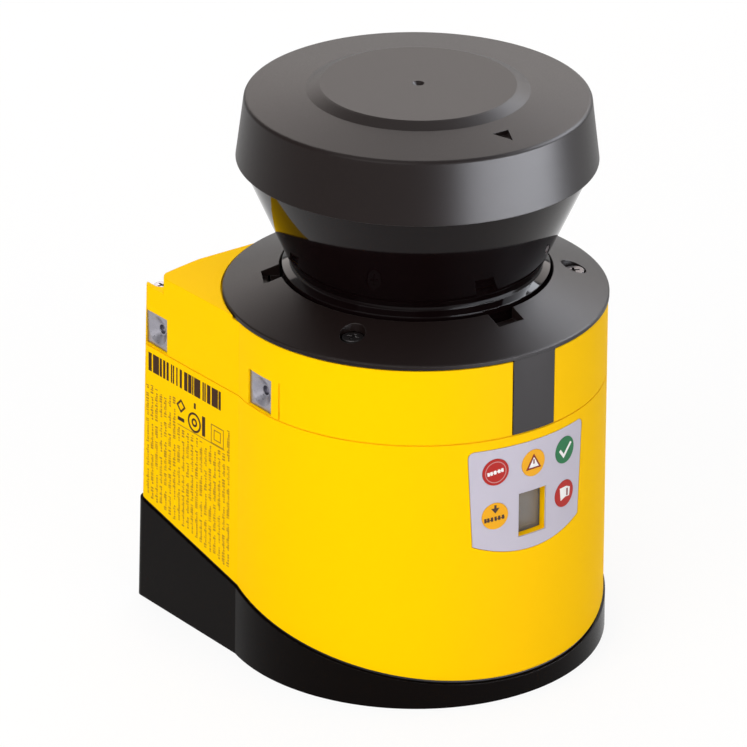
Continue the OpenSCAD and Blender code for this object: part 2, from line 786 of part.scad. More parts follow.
module lens_barrel() color([0.1, 0.1, 0.11]) {
    t = 1.6;
    collar_r = column_r - column_t - 0.4 - fit;
    difference() {
        rotate_extrude($fn = fine) polygon([
            [frame_r - 0.6, barrel_top], [collar_r, barrel_top], [collar_r, deck_z],
            [lens_r + fit, deck_z], [lens_r + fit, lens_seat], [lens_r - 1.4, lens_seat],
            [6, barrel_z + 3], [6, barrel_z], [13, barrel_z], [13, barrel_z + t], [6 + t, barrel_z + 3],
            [lens_r + t, lens_seat - 1], [lens_r + t, barrel_top - barrel_t],
            [frame_r - 0.6, barrel_top - barrel_t]]);
        at_frame_screws(barrel_top - 2 * barrel_t) cylinder(h = 4 * barrel_t, r = 1.5 + fit, $fn = 24);
    }
}

module receiver_lens() color([0.75, 0.85, 0.9, 0.5]) {
    ball_r = (lens_r * lens_r + lens_rise * lens_rise) / (2 * lens_rise);
    translate([0, 0, lens_seat]) difference() {
        intersection() {
            cylinder(h = lens_edge + lens_rise + 1, r = lens_r, $fn = fine);
            translate([0, 0, lens_edge + lens_rise - ball_r]) sphere(r = ball_r, $fn = 2 * fine);
        }
        translate([0, 0, -eps]) cylinder(h = 20, r = tube_r + fit, $fn = 48);
    }
}

module laser_tube() color([0.75, 0.76, 0.78]) {
    collar_z = lens_seat + lens_edge + lens_rise + gap;
    difference() {
        union() {
            translate([0, 0, tube_foot]) cylinder(h = tube_top - tube_foot, r = tube_r, $fn = 48);
            translate([0, 0, collar_z]) cylinder(h = 1.6, r = tube_r + 1.6, $fn = 48);
        }
        translate([0, 0, tube_foot - 1]) cylinder(h = 5, r = tube_r - 1.6, $fn = 48);
        translate([0, 0, tube_foot]) cylinder(h = far, r = tube_r - 2.4, $fn = 48);
        translate([0, 0, tube_top - 2]) cylinder(h = far, r = tube_r - 1, $fn = 48);
    }
}

module laser_lens() color([0.75, 0.85, 0.9, 0.5]) {
    translate([0, 0, tube_top - 2]) cylinder(h = 1.8, r = tube_r - 1 - fit, $fn = 48);
}

module laser_diode() color([0.78, 0.68, 0.38]) {
    translate([0, 0, tube_foot - 1]) cylinder(h = 1, r = tube_r - 0.6, $fn = 32);
    translate([0, 0, tube_foot - eps]) cylinder(h = 3.4, r = tube_r - 1.7, $fn = 32);
}

// Die-cast frame: a ring under the deck, a column in the blind rear sector and the motor plate
module optics_frame() color([0.62, 0.63, 0.65]) {
    difference() {
        union() {
            tube(barrel_top, deck_z, frame_r, column_r - column_t - 0.4, fine);
            rotate([0, 0, 90 - column_half]) rotate_extrude(angle = 2 * column_half, $fn = fine)
                translate([column_r - column_t, deck_z - frame_t])
                    square([column_t, plate_z + plate_t - deck_z + frame_t]);
            translate([0, 0, plate_z]) cylinder(h = plate_t, r = plate_r, $fn = fine);
            translate([0, 0, hub_z]) cylinder(h = hub_top - hub_z, r = hub_r, $fn = 64);
            for (a = [-20, 0, 20]) rotate([0, 0, a]) translate([-1, column_r - column_t + 1, plate_z])
                rotate([90, 0, 90]) linear_extrude(height = 2) polygon([[-8, 0.5], [0, 0.5], [0, -14]]);
        }
        translate([0, 0, hub_z - 1]) cylinder(h = hub_top - hub_z + 2, r = bearing_r - 0.9, $fn = 64);
        translate([0, 0, hub_z - 1])
            cylinder(h = bearing_low + bearing_h - hub_z + 1, r = bearing_r + 0.02, $fn = 64);
        translate([0, 0, bearing_high]) cylinder(h = 20, r = bearing_r + 0.02, $fn = 64);
        at_frame_screws(barrel_top - 1) cylinder(h = frame_t + 2, r = 1.5 + fit, $fn = 24);
        for (a = [60:120:300]) rotate([0, 0, a]) translate([0, plate_fix_r, plate_z - 1])
            cylinder(h = plate_t + 2, r = 1.3, $fn = 24);
    }
}

module frame_screws() color("silver") {
    at_frame_screws(barrel_top - barrel_t) rotate([180, 0, 0]) screw(1.5, 2.6, 1.8, barrel_t + frame_t + 1.4);
}

module cover_seal() color([0.12, 0.12, 0.12]) {
    tube(deck_step, deck_step + seal_t, foot_r - 0.6, neck_r + 0.2, fine);
}

module optics_cover() color([0.05, 0.03, 0.04]) {
    foot_z = deck_step + seal_t;
    top_rim = plate_z;
    rotate_extrude($fn = fine) polygon([
        [cone_r - cover_t, top_rim], [cone_r, top_rim], [cone_r, cap_z], [waist_r, waist_z],
        [waist_r, waist_z - 1], [neck_r + 0.6, waist_z - 1.9], [neck_r + 0.6, ring_hole_z - 0.9],
        [neck_r, ring_hole_z - 1.2], [neck_r, foot_z + foot_h], [foot_r, foot_z + foot_h],
        [foot_r, foot_z], [neck_r - cover_t, foot_z], [neck_r - cover_t, waist_z - 2.6],
        [waist_r - cover_t, waist_z - 0.6], [waist_r - cover_t, waist_z + 0.2],
        [cone_r - cover_t, cap_z + 0.3]]);
}

module ring_plate() color([0.28, 0.25, 0.24]) {
    foot_z = deck_step + seal_t + foot_h;
    difference() {
        union() {
            rotate_extrude($fn = fine) polygon([
                [ring_r, ring_z - rim_t], [ring_r, ring_z - 0.3], [ring_r - 0.3, ring_z],
                [ring_hole_r + 0.3, ring_hole_z], [ring_hole_r, ring_hole_z - 0.3],
                [ring_hole_r, foot_z], [ring_hole_r + 2, foot_z],
                [ring_hole_r + 2.4, ring_hole_z - ring_t - 1],
                [foot_r + 2.2, ring_z + ring_k * (ring_r - foot_r - 2.2) - ring_t],
                [foot_r + 2.6, deck_top], [ring_r - 3.4, deck_top], [ring_r - 3, ring_z - rim_t]]);
            intersection() {
                front_slot(tongue_w, body_r - draft_r - 1.9, seam_z + 0.1, ring_z - rim_t - seam_z);
                round_skin(housing_inset - 0.1);
            }
            translate([-tongue_w, -ring_r + 0.4, ring_z - rim_t - 0.5]) cube([2 * tongue_w, 1.6, 0.8]);
        }
        for (a = notch_angles) rotate([0, 0, a])
            translate([-4, -ring_hole_r - 4.6, ring_hole_z - 3.2]) cube([8, 5.4, 10]);
        at_ring_screws(ring_seat) {
            cylinder(h = 20, r = 3.3, $fn = 32);
            translate([0, 0, -ring_seat]) cylinder(h = far, r = 1.5 + gap, $fn = 24);
        }
    }
}

module ring_screws() color("silver") {
    at_ring_screws(ring_seat) screw(1.5, 2.7, 1.6, 6.6);
}

// ---- cap ----

module head_cap() color([0.3, 0.28, 0.27]) {
    t = 2.1;
    arrow_tip = cap_top_r - 5.6;
    arrow_l = 5;
    arrow_w = 2.4;
    fillet = 1.1;
    crown_foot = crown_r + 3.5;
    crown_z = height - 1.4;
    shoulder = plate_z;
    edge = [for (a = [0:18:90])
        [cap_top_r - fillet + fillet * cos(a), cap_edge_z - fillet + fillet * sin(a)]];
    difference() {
        rotate_extrude($fn = fine) polygon(concat(
            [[cone_r + 0.4, cap_z], [cap_r, cap_z]], edge,
            [[crown_foot, crown_z], [crown_r + 0.6, height - 0.2], [crown_r, height], [0, height],
            [0, height - t], [crown_r - 1.2, height - t], [crown_foot - 1.4, crown_z - t],
            [cap_top_r - t - 0.4, cap_edge_z - t], [cone_r - cover_t - 0.6, shoulder],
            [cone_r + 0.4, shoulder]]));
        translate([0, 0, height - 0.8]) cylinder(h = 0.8 + eps, r1 = 0.7, r2 = 1.6, $fn = 32);
        translate([0, 0, cap_edge_z - 0.1]) linear_extrude(height = 4)
            polygon([[-arrow_w, arrow_l - arrow_tip], [arrow_w, arrow_l - arrow_tip], [0, -arrow_tip]]);
    }
}

// ---- motor and mirror ----

module motor_board() color([0.05, 0.35, 0.18]) {
    tube(motor_board_z, motor_board_z + motor_board_t, column_r - 1, hub_r + 0.4, fine);
}

module bearing(z) {
    difference() {
        tube(z, z + bearing_h, bearing_r, spindle_r, 64);
        for (end = [z - 0.1, z + bearing_h - 0.3])
            tube(end, end + 0.4, bearing_r - 1, spindle_r + 0.9, 64);
    }
}

module lower_bearing() color([0.8, 0.8, 0.82]) bearing(bearing_low);
module upper_bearing() color([0.8, 0.8, 0.82]) bearing(bearing_high);

module stator() color([0.5, 0.5, 0.52]) {
    tube(stator_z, stator_z + stator_h, hub_r + 2, hub_r + 0.02);
    difference() {
        intersection() {
            for (i = [0:teeth - 1]) rotate([0, 0, i * 360 / teeth]) {
                translate([hub_r + 1, -0.9, stator_z]) cube([stator_r - hub_r, 1.8, stator_h]);
                translate([stator_r - 1.2, -3.2, stator_z]) cube([3, 6.4, stator_h]);
            }
            translate([0, 0, stator_z]) cylinder(h = stator_h, r = stator_r, $fn = 64);
        }
        translate([0, 0, stator_z - 1]) cylinder(h = stator_h + 2, r = hub_r + 1, $fn = 64);
    }
}

module stator_coils() color([0.72, 0.4, 0.2]) {
    for (i = [0:teeth - 1]) rotate([0, 0, i * 360 / teeth])
        translate([hub_r + 2.3, 0, stator_z]) difference() {
            translate([0, -1.7, -0.5]) cube([stator_r - hub_r - 3.9, 3.4, stator_h + 1]);
            translate([-1, -0.9 - fit, -fit]) cube([20, 1.8 + 2 * fit, stator_h + 2 * fit]);
        }
}

module encoder_sensor() color([0.1, 0.1, 0.11]) {
    base = motor_board_z + motor_board_t;
    translate([bell_r + 1.8, -4, base]) difference() {
        cube([6.2, 8, bell_top + 2.2 - base]);
        translate([-1, -1, bell_top - base - 0.5]) cube([disc_r - bell_r, 10, disc_t + 1]);
    }
}

module spindle() color([0.8, 0.8, 0.82]) {
    shaft_r = spindle_r - fit;
    translate([0, 0, spindle_foot]) cylinder(h = spindle_top - spindle_foot, r = shaft_r, $fn = 48);
    translate([0, 0, carrier_top]) cylinder(h = hub_z - carrier_top + 0.2, r = shaft_r + 0.8, $fn = 48);
}

// Everything above the 45 degree plane through the scan centre, shifted by s along its normal
module behind_mirror(s) {
    translate([0, 0, scan_z]) rotate([-45, 0, 0]) translate([-far / 2, -far / 2, s]) cube([far, far, far]);
}

// The round column round the scan centre that the mirror and its carrier are cut from
module turret(r) {
    foot_z = scan_z - mirror_r - 1;
    translate([0, 0, foot_z]) cylinder(h = carrier_top - foot_z, r = r, $fn = 64);
}

module mirror_carrier() color([0.45, 0.46, 0.48]) {
    difference() {
        intersection() {
            turret(mirror_r);
            behind_mirror(mirror_t);
        }
        translate([0, 0, spindle_foot - eps]) cylinder(h = far, r = spindle_r - press, $fn = 48);
    }
}

module scan_mirror() color([0.85, 0.88, 0.92]) {
    intersection() {
        turret(mirror_r - 0.4);
        difference() {
            behind_mirror(0);
            behind_mirror(mirror_t);
        }
    }
}

module rotor_bell() color([0.55, 0.56, 0.58]) {
    difference() {
        translate([0, 0, bell_z]) cylinder(h = bell_top - bell_z, r = bell_r, $fn = 64);
        translate([0, 0, bell_z - 1]) cylinder(h = bell_top - bell_z - 0.4, r = bell_r - bell_t, $fn = 64);
        translate([0, 0, bell_z - 1]) cylinder(h = far, r = spindle_r - press, $fn = 48);
    }
}

module rotor_magnets() color([0.25, 0.25, 0.27]) {
    tube(bell_z + 0.2, bell_top - bell_t, bell_r - bell_t - 0.02, magnet_r);
}

module encoder_disc() color([0.35, 0.36, 0.38]) {
    translate([0, 0, bell_top]) difference() {
        cylinder(h = disc_t, r = disc_r, $fn = fine);
        translate([0, 0, -1]) cylinder(h = 3, r = spindle_r + fit, $fn = 48);
        for (i = [0:encoder_slots - 1]) rotate([0, 0, i * 360 / encoder_slots])
            translate([disc_r - slot_l - 0.8, -slot_w / 2, -1]) cube([slot_l, slot_w, 3]);
    }
}

connection_base();
base_gasket();
base_screws();
terminal_board();
terminal_socket();
cable_gland();
gland_nut();
gland_seal();
blanking_plug();
lower_housing();
mounting_inserts();
housing_gasket();
upper_housing();
housing_screws();
side_inserts();
corner_screws();
main_board();
board_standoffs();
main_plug();
board_link();
receiver_board();
lens_barrel();
receiver_lens();
laser_tube();
laser_lens();
laser_diode();
display_panel();
display_window();
display_module();
indicator_board();
stop_lamp();
warning_lamp();
clear_lamp();
cleaning_lamp();
service_lamp();
optics_frame();
frame_screws();
cover_seal();
optics_cover();
ring_plate();
ring_screws();
head_cap();
motor_board();
lower_bearing();
upper_bearing();
stator();
stator_coils();
encoder_sensor();
spindle();
mirror_carrier();
scan_mirror();
rotor_bell();
rotor_magnets();
encoder_disc();
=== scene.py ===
"""Finishes, printed marks and stage for a safety laser scanner, built around its packed model."""
import json
from math import pi, radians

import bmesh
import bpy
import numpy as np
from bpy.props import FloatProperty, FloatVectorProperty, IntProperty, PointerProperty
from mathutils import Matrix, Vector


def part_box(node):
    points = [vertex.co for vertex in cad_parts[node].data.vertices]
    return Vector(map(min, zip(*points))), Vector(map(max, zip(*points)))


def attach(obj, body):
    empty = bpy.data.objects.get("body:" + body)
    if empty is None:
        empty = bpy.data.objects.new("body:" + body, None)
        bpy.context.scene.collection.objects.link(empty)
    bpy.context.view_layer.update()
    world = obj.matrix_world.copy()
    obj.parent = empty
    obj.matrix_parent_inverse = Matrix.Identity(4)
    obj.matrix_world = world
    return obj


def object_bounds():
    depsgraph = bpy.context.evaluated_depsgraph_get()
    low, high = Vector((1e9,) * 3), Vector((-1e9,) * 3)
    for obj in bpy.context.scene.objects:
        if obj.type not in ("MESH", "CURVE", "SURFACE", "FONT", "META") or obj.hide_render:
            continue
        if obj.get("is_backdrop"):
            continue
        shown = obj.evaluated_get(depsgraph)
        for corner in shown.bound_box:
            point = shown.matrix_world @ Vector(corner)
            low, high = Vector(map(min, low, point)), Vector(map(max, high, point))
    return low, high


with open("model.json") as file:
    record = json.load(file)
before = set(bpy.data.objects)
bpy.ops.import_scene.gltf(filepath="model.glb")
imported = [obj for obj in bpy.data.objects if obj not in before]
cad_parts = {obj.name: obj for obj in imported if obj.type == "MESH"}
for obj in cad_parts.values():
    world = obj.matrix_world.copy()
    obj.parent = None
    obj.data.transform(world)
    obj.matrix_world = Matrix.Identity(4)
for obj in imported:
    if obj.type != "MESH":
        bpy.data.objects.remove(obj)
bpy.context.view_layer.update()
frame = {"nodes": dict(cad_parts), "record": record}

bl_info = {
    "name": "Safety laser scanner",
    "version": (1, 0, 0),
    "blender": (4, 5, 0),
    "location": "View3D > Sidebar > Scanner",
    "description": "Dresses the scanner's CAD nodes, prints its marks and sets its stage",
    "category": "Object",
}

MM = 0.001
BODY = "scanner_body"
LAMP_PROUD = 0.12 * MM                      # how far the lamps stand out of the panel's skin

# the side print, in millimetres back from the axis and up from the floor
SLOPE_FOOT, SLOPE_RISE = 17.7, 0.225        # the sloping joint's height at the axis, and its rise per mm back
BARS_FRONT, BARS_REAR, BARS_FOOT, BARS_HEAD = 17.9, 51.0, 67.1, 72.3
ROWS_FRONT, ROWS_REAR, ROW_PITCH = 14.6, 49.8, 1.95
ROW_TOP, ROW_TOP_UNDER_MARKS = 63.0, 55.5
MARKS_FRONT, MARKS_REAR = 16, 37

# the floor and the wall that it curves up into, in metres
FLOOR_RINGS = (0.4, 2, 4)
BEND_START, BEND_RADIUS, WALL_TOP = 6, 1, 1.4
FLOOR_SIDES, BEND_STEPS = 96, 8
FLOOR_DROP = 0.02 * MM
FLOOR_GLOW = 0.88                           # how much of the floor's colour is its own light where it is seen

# each light: place, width and height, tint, the point it faces, and whether it lights plain surfaces as well
WHITE, COOL, WARM = (1, 1, 1), (0.90, 0.93, 1.0), (1.0, 0.92, 0.88)
MIDDLE, CAP = (0, 0, 0.11), (0, 0, 0.15)
LIGHTS = {
    "key": ((-1.18, -0.55, 0.95), (1.4, 1.4), WHITE, MIDDLE, True),
    "front": ((0.05, -1.3, 0.8), (0.7, 0.7), WHITE, MIDDLE, True),
    "top": ((-0.2, 0.2, 1.5), (1.0, 1.0), WHITE, MIDDLE, True),
    "back": ((0.67, 0.87, 0.66), (1.3, 0.6), WARM, MIDDLE, True),
    "sheen": ((0.222, -0.518, 0.078), (0.7, 0.135), COOL, (0, 0, 0.078), False),
    "rim": ((0.73, -0.195, 0.64), (0.7, 0.5), COOL, MIDDLE, False),
    "glint": ((0.742, 0.346, 0.724), (0.3, 0.2), COOL, CAP, False),
}


def colour(name, description, default):
    """A linear colour property."""
    return FloatVectorProperty(name=name, description=description, default=default, size=3,
                               subtype="COLOR", min=0.0, max=1.0)


def share(name, description, default, high=1.0):
    """A plain number between nought and high."""
    return FloatProperty(name=name, description=description, default=default, min=0.0, max=high)


def length(name, description, default):
    """A length in metres."""
    return FloatProperty(name=name, description=description, default=default, min=0.0,
                         unit="LENGTH", subtype="DISTANCE", precision=5)


# ---- sizes and colours that a user may change ----

class HousingSettings(bpy.types.PropertyGroup):
    """Powder-coated housing halves"""
    coat: colour("Coat", "Colour of the coated housing", (1.0, 0.58, 0.0))
    gloss_roughness: share("Roughness", "Roughness of the coat", 0.5)
    orange_peel: length("Orange peel", "Height of the coat's ripple", 0.012 * MM)
    edge_radius: length("Edge radius", "Rounding that shows along the housing's edges", 0.35 * MM)


class PlasticSettings(bpy.types.PropertyGroup):
    """Moulded plastics"""
    brown_black: colour("Brown black", "Cap and ring plate", (0.009, 0.005, 0.0045))
    base_black: colour("Base black", "Connection base", (0.003, 0.0018, 0.0015))
    dark: colour("Dark", "Glands, sockets and covers", (0.022, 0.022, 0.024))
    grain_size: length("Grain size", "Pitch of the moulded grain", 0.22 * MM)
    grain_depth: length("Grain depth", "Height of the moulded grain", 0.006 * MM)


class PanelSettings(bpy.types.PropertyGroup):
    """Indicator panel and its lamps"""
    film: colour("Film", "Colour of the panel film", (0.51, 0.48, 0.57))
    red: colour("Red", "Stop and service lamps", (0.44, 0.014, 0.009))
    amber: colour("Amber", "Warning and cleaning lamps", (0.86, 0.40, 0.003))
    green: colour("Green", "Clear lamp", (0.016, 0.17, 0.060))
    white_ink: colour("White ink", "Light marks on the lamps", (0.86, 0.84, 0.84))
    dark_ink: colour("Dark ink", "Dark marks on the lamps", (0.045, 0.016, 0.008))
    ink_height: length("Ink height", "Thickness of the printed marks", 0.05 * MM)


class PrintSettings(bpy.types.PropertyGroup):
    """Printed field on the flat side"""
    bar_ink: colour("Bar ink", "Wide bars", (0.045, 0.016, 0.004))
    row_ink: colour("Row ink", "Fine rows", (0.36, 0.19, 0.004))
    height: length("Height", "Thickness of the print", 0.05 * MM)
    seed: IntProperty(name="Seed", description="Order of the fine rows", default=7, min=0)


class StageSettings(bpy.types.PropertyGroup):
    """Camera, lights and floor"""
    azimuth: FloatProperty(name="Azimuth", description="Direction of the camera round the part",
                           default=radians(-37.5), subtype="ANGLE")
    pan: FloatProperty(name="Pan", description="Turn of the camera away from the axis",
                       default=radians(0.49), subtype="ANGLE")
    tilt: FloatProperty(name="Tilt", description="How far the camera looks down",
                        default=radians(25.0), subtype="ANGLE")
    roll: FloatProperty(name="Roll", description="Turn about the view axis",
                        default=radians(0.5), subtype="ANGLE")
    distance: length("Distance", "Camera's distance from the part's axis", 1.25)
    camera_height: length("Camera height", "Camera's height above the floor", 0.6538)
    focal: FloatProperty(name="Focal length", description="Focal length of the lens on a 36 mm frame",
                         default=256.5, min=10.0)
    floor: colour("Floor", "Colour of the floor", (0.90, 0.90, 0.90))
    ambient: share("Ambient", "Light from all round", 0.42, 4.0)
    key: share("Key", "Strength of the large left light", 15.5, 100.0)
    front: share("Front", "Strength of the small front light", 4.0, 100.0)
    top: share("Top", "Strength of the overhead light", 4.5, 100.0)
    back: share("Back", "Strength of the wide light behind", 6.2, 100.0)
    sheen: share("Sheen", "Strength of the low light that only glosses", 16.0, 100.0)
    rim: share("Rim", "Strength of the high light that only glosses", 20.0, 100.0)
    glint: share("Glint", "Strength of the small light that only glosses", 2.4, 100.0)


# ---- node helpers ----

def link_in(tree, socket, value):
    """Sets a socket to a number or colour, or links it from another socket."""
    if isinstance(value, bpy.types.NodeSocket):
        tree.links.new(value, socket)
    elif hasattr(value, "__len__") and socket.type == "RGBA":
        socket.default_value = (*value[:3], 1.0)
    else:
        socket.default_value = value


def add(tree, kind, inputs=None, **fields):
    """A node with its fields set and its inputs given by name or number."""
    node = tree.nodes.new(kind)
    for field, value in fields.items():
        setattr(node, field, value)
    for key, value in (inputs or {}).items():
        link_in(tree, node.inputs[key], value)
    return node


def maths(tree, operation, *values, clamp=False):
    """A Math node's result."""
    return add(tree, "ShaderNodeMath", dict(enumerate(values)), operation=operation,
               use_clamp=clamp).outputs[0]


def blend_colours(tree, factor, first, second, kind="MIX"):
    """A colour Mix node's result."""
    node = add(tree, "ShaderNodeMix", data_type="RGBA", blend_type=kind)
    link_in(tree, node.inputs[0], factor)
    link_in(tree, node.inputs[6], first)
    link_in(tree, node.inputs[7], second)
    return node.outputs[2]


def ramp(tree, value, low, high, out_low=0.0, out_high=1.0):
    """Maps a value from one range to another, and holds it there."""
    return add(tree, "ShaderNodeMapRange", {0: value, 1: low, 2: high, 3: out_low, 4: out_high}).outputs[0]


def new_group(name, inputs, outputs):
    """A node group with sockets given as (name, kind, default); returns the tree, its input and output."""
    tree = bpy.data.node_groups.new(name, "ShaderNodeTree")
    for label, kind, default in inputs:
        socket = tree.interface.new_socket(name=label, in_out="INPUT", socket_type="NodeSocket" + kind)
        if default is not None:
            socket.default_value = default
    for label, kind in outputs:
        tree.interface.new_socket(name=label, in_out="OUTPUT", socket_type="NodeSocket" + kind)
    return tree, tree.nodes.new("NodeGroupInput"), tree.nodes.new("NodeGroupOutput")


def object_noise(tree, scale, detail=3.0):
    """Noise over object coordinates."""
    place = add(tree, "ShaderNodeTexCoord").outputs["Object"]
    return add(tree, "ShaderNodeTexNoise", {"Vector": place, "Scale": scale, "Detail": detail}).outputs[0]


def build_groups():
    """The shared effects: rounded edges with a wear mask, moulded grain, drift of tone, and turned rings."""
    groups = {}

    tree, source, sink = new_group("Soft edges", [("Radius", "Float", 0.0003), ("Reach", "Float", 0.2)],
                                   [("Normal", "Vector"), ("Wear", "Float")])
    bevel = add(tree, "ShaderNodeBevel", {"Radius": source.outputs[0]}, samples=4).outputs[0]
    flat = add(tree, "ShaderNodeNewGeometry").outputs["Normal"]
    facing = add(tree, "ShaderNodeVectorMath", {0: bevel, 1: flat}, operation="DOT_PRODUCT").outputs["Value"]
    turn = maths(tree, "SUBTRACT", 1.0, facing)
    patchy = ramp(tree, object_noise(tree, 900.0), 0.35, 0.7)
    tree.links.new(bevel, sink.inputs[0])
    tree.links.new(maths(tree, "MULTIPLY", ramp(tree, turn, 0.02, source.outputs[1]), patchy), sink.inputs[1])
    groups["edges"] = tree

    tree, source, sink = new_group("Moulded grain", [("Pitch", "Float", 0.0002), ("Depth", "Float", 0.00001),
                                                     ("Normal", "Vector", None)],
                                   [("Normal", "Vector"), ("Speckle", "Float")])
    scale = maths(tree, "DIVIDE", 1.0, source.outputs[0])
    fine = object_noise(tree, scale, 2.0)
    coarse = object_noise(tree, maths(tree, "MULTIPLY", scale, 0.35), 2.0)
    height = maths(tree, "ADD", fine, maths(tree, "MULTIPLY", coarse, 0.6))
    bump = add(tree, "ShaderNodeBump", {"Strength": 1.0, "Distance": source.outputs[1], "Height": height,
                                        "Normal": source.outputs[2]})
    tree.links.new(bump.outputs[0], sink.inputs[0])
    tree.links.new(ramp(tree, fine, 0.3, 0.7), sink.inputs[1])
    groups["grain"] = tree

    tree, source, sink = new_group("Tone drift", [("Colour", "Color", None), ("Amount", "Float", 0.1),
                                                  ("Scale", "Float", 30.0)], [("Colour", "Color")])
    drift = object_noise(tree, source.outputs[2], 4.0)
    swing = maths(tree, "SUBTRACT", drift, 0.5)
    tone = maths(tree, "ADD", 1.0, maths(tree, "MULTIPLY", swing, source.outputs[1]))
    grey = add(tree, "ShaderNodeCombineColor", {0: tone, 1: tone, 2: tone}).outputs[0]
    tree.links.new(blend_colours(tree, 1.0, source.outputs[0], grey, "MULTIPLY"), sink.inputs[0])
    groups["drift"] = tree

    tree, source, sink = new_group("Turned rings", [("Pitch", "Float", 0.0003), ("Depth", "Float", 0.000002),
                                                    ("Normal", "Vector", None)],
                                   [("Normal", "Vector"), ("Bands", "Float")])
    place = add(tree, "ShaderNodeTexCoord").outputs["Object"]
    scale = maths(tree, "DIVIDE", 0.3, source.outputs[0])
    rings = add(tree, "ShaderNodeTexWave", {"Vector": place, "Scale": scale, "Distortion": 0.4, "Detail": 2.0},
                wave_type="RINGS", rings_direction="Z").outputs["Fac"]
    bump = add(tree, "ShaderNodeBump", {"Strength": 1.0, "Distance": source.outputs[1], "Height": rings,
                                        "Normal": source.outputs[2]})
    tree.links.new(bump.outputs[0], sink.inputs[0])
    tree.links.new(rings, sink.inputs[1])
    groups["rings"] = tree
    return groups


GROUPS = {}


def use(tree, name, **values):
    """Places one of the shared groups in a material."""
    if not GROUPS:
        GROUPS.update(build_groups())
    node = add(tree, "ShaderNodeGroup", node_tree=GROUPS[name])
    for key, value in values.items():
        link_in(tree, node.inputs[key], value)
    return node


def new_material(name):
    """An empty node material with its Principled shader."""
    material = bpy.data.materials.new(name)
    material.use_nodes = True
    tree = material.node_tree
    shader = tree.nodes["Principled BSDF"]
    return material, tree, shader


def moulded(name, base, roughness, pitch=0.22 * MM, depth=0.006 * MM, edge=0.25 * MM, drift=0.16,
            drift_scale=45.0, wear=0.25, wear_colour=(0.30, 0.29, 0.28), speckle=0.12, specular=0.5,
            rings=False, metallic=0.0):
    """A surface with rounded edges, grain or turned rings, drifting tone, and lighter edges where they rub."""
    material, tree, shader = new_material(name)
    edges = use(tree, "edges", Radius=edge)
    relief = use(tree, "rings" if rings else "grain", Pitch=pitch, Depth=depth, Normal=edges.outputs[0])
    toned = use(tree, "drift", Colour=base, Amount=drift, Scale=drift_scale).outputs[0]
    worn = maths(tree, "MULTIPLY", edges.outputs[1], wear)
    link_in(tree, shader.inputs["Base Color"], blend_colours(tree, worn, toned, wear_colour))
    rough = maths(tree, "ADD", roughness - speckle / 2, maths(tree, "MULTIPLY", relief.outputs[1], speckle))
    link_in(tree, shader.inputs["Roughness"], rough)
    link_in(tree, shader.inputs["Normal"], relief.outputs[0])
    shader.inputs["Metallic"].default_value = metallic
    shader.inputs["Specular IOR Level"].default_value = specular
    return material


def clear_glass(name, tint, roughness, alpha=None):
    """Polished glass or film with faint waviness."""
    material, tree, shader = new_material(name)
    wave = use(tree, "grain", Pitch=6 * MM, Depth=0.004 * MM,
               Normal=add(tree, "ShaderNodeNewGeometry").outputs["Normal"])
    toned = use(tree, "drift", Colour=tint, Amount=0.06, Scale=60.0).outputs[0]
    link_in(tree, shader.inputs["Base Color"], toned)
    link_in(tree, shader.inputs["Normal"], wave.outputs[0])
    link_in(tree, shader.inputs["Roughness"], ramp(tree, wave.outputs[1], 0.0, 1.0, roughness, roughness * 1.6))
    shader.inputs["Transmission Weight"].default_value = 1.0 if alpha is None else 0.0
    if alpha is not None:
        shader.inputs["Alpha"].default_value = alpha
    return material


def board(name, mask):
    """Circuit board: solder mask over tracks, with tinned pads on a grid."""
    material, tree, shader = new_material(name)
    place = add(tree, "ShaderNodeTexCoord").outputs["Object"]
    tracks = add(tree, "ShaderNodeTexBrick", {"Vector": place, "Scale": 160.0, "Mortar Size": 0.06, "Bias": 0.0,
                                              "Brick Width": 1.7, "Row Height": 0.35}).outputs["Fac"]
    pads = add(tree, "ShaderNodeTexVoronoi", {"Vector": place, "Scale": 380.0, "Randomness": 0.15}).outputs[0]
    pad = maths(tree, "LESS_THAN", pads, 0.16)
    toned = use(tree, "drift", Colour=mask, Amount=0.3, Scale=80.0).outputs[0]
    tracked = blend_colours(tree, maths(tree, "MULTIPLY", tracks, 0.5), toned, (0.05, 0.30, 0.12))
    link_in(tree, shader.inputs["Base Color"], blend_colours(tree, pad, tracked, (0.62, 0.60, 0.55)))
    link_in(tree, shader.inputs["Metallic"], maths(tree, "MULTIPLY", pad, 0.9))
    link_in(tree, shader.inputs["Roughness"], ramp(tree, pad, 0.0, 1.0, 0.34, 0.25))
    bump = add(tree, "ShaderNodeBump", {"Strength": 1.0, "Distance": 0.03 * MM, "Height": tracks})
    link_in(tree, shader.inputs["Normal"], bump.outputs[0])
    return material


def wound(name, base):
    """Enamelled winding: fine parallel turns."""
    material, tree, shader = new_material(name)
    place = add(tree, "ShaderNodeTexCoord").outputs["Object"]
    turns = add(tree, "ShaderNodeTexWave", {"Vector": place, "Scale": 900.0, "Distortion": 0.6, "Detail": 1.0},
                wave_type="BANDS", bands_direction="Z").outputs["Fac"]
    link_in(tree, shader.inputs["Base Color"], blend_colours(tree, turns, [c * 0.35 for c in base], base))
    link_in(tree, shader.inputs["Roughness"], ramp(tree, turns, 0.0, 1.0, 0.5, 0.28))
    bump = add(tree, "ShaderNodeBump", {"Strength": 1.0, "Distance": 0.05 * MM, "Height": turns})
    link_in(tree, shader.inputs["Normal"], bump.outputs[0])
    shader.inputs["Metallic"].default_value = 0.85
    return material


def dress(slots):
    """Gives every CAD node whose record slot is named its material, in place of the packed one."""
    for part in frame["record"]["subparts"]:
        made = slots.get(part["material_slot"])
        if made is not None:
            mesh = frame["nodes"][part["node"]].data
            mesh.materials.clear()
            mesh.materials.append(made)


# ---- surfaces that marks lie on ----

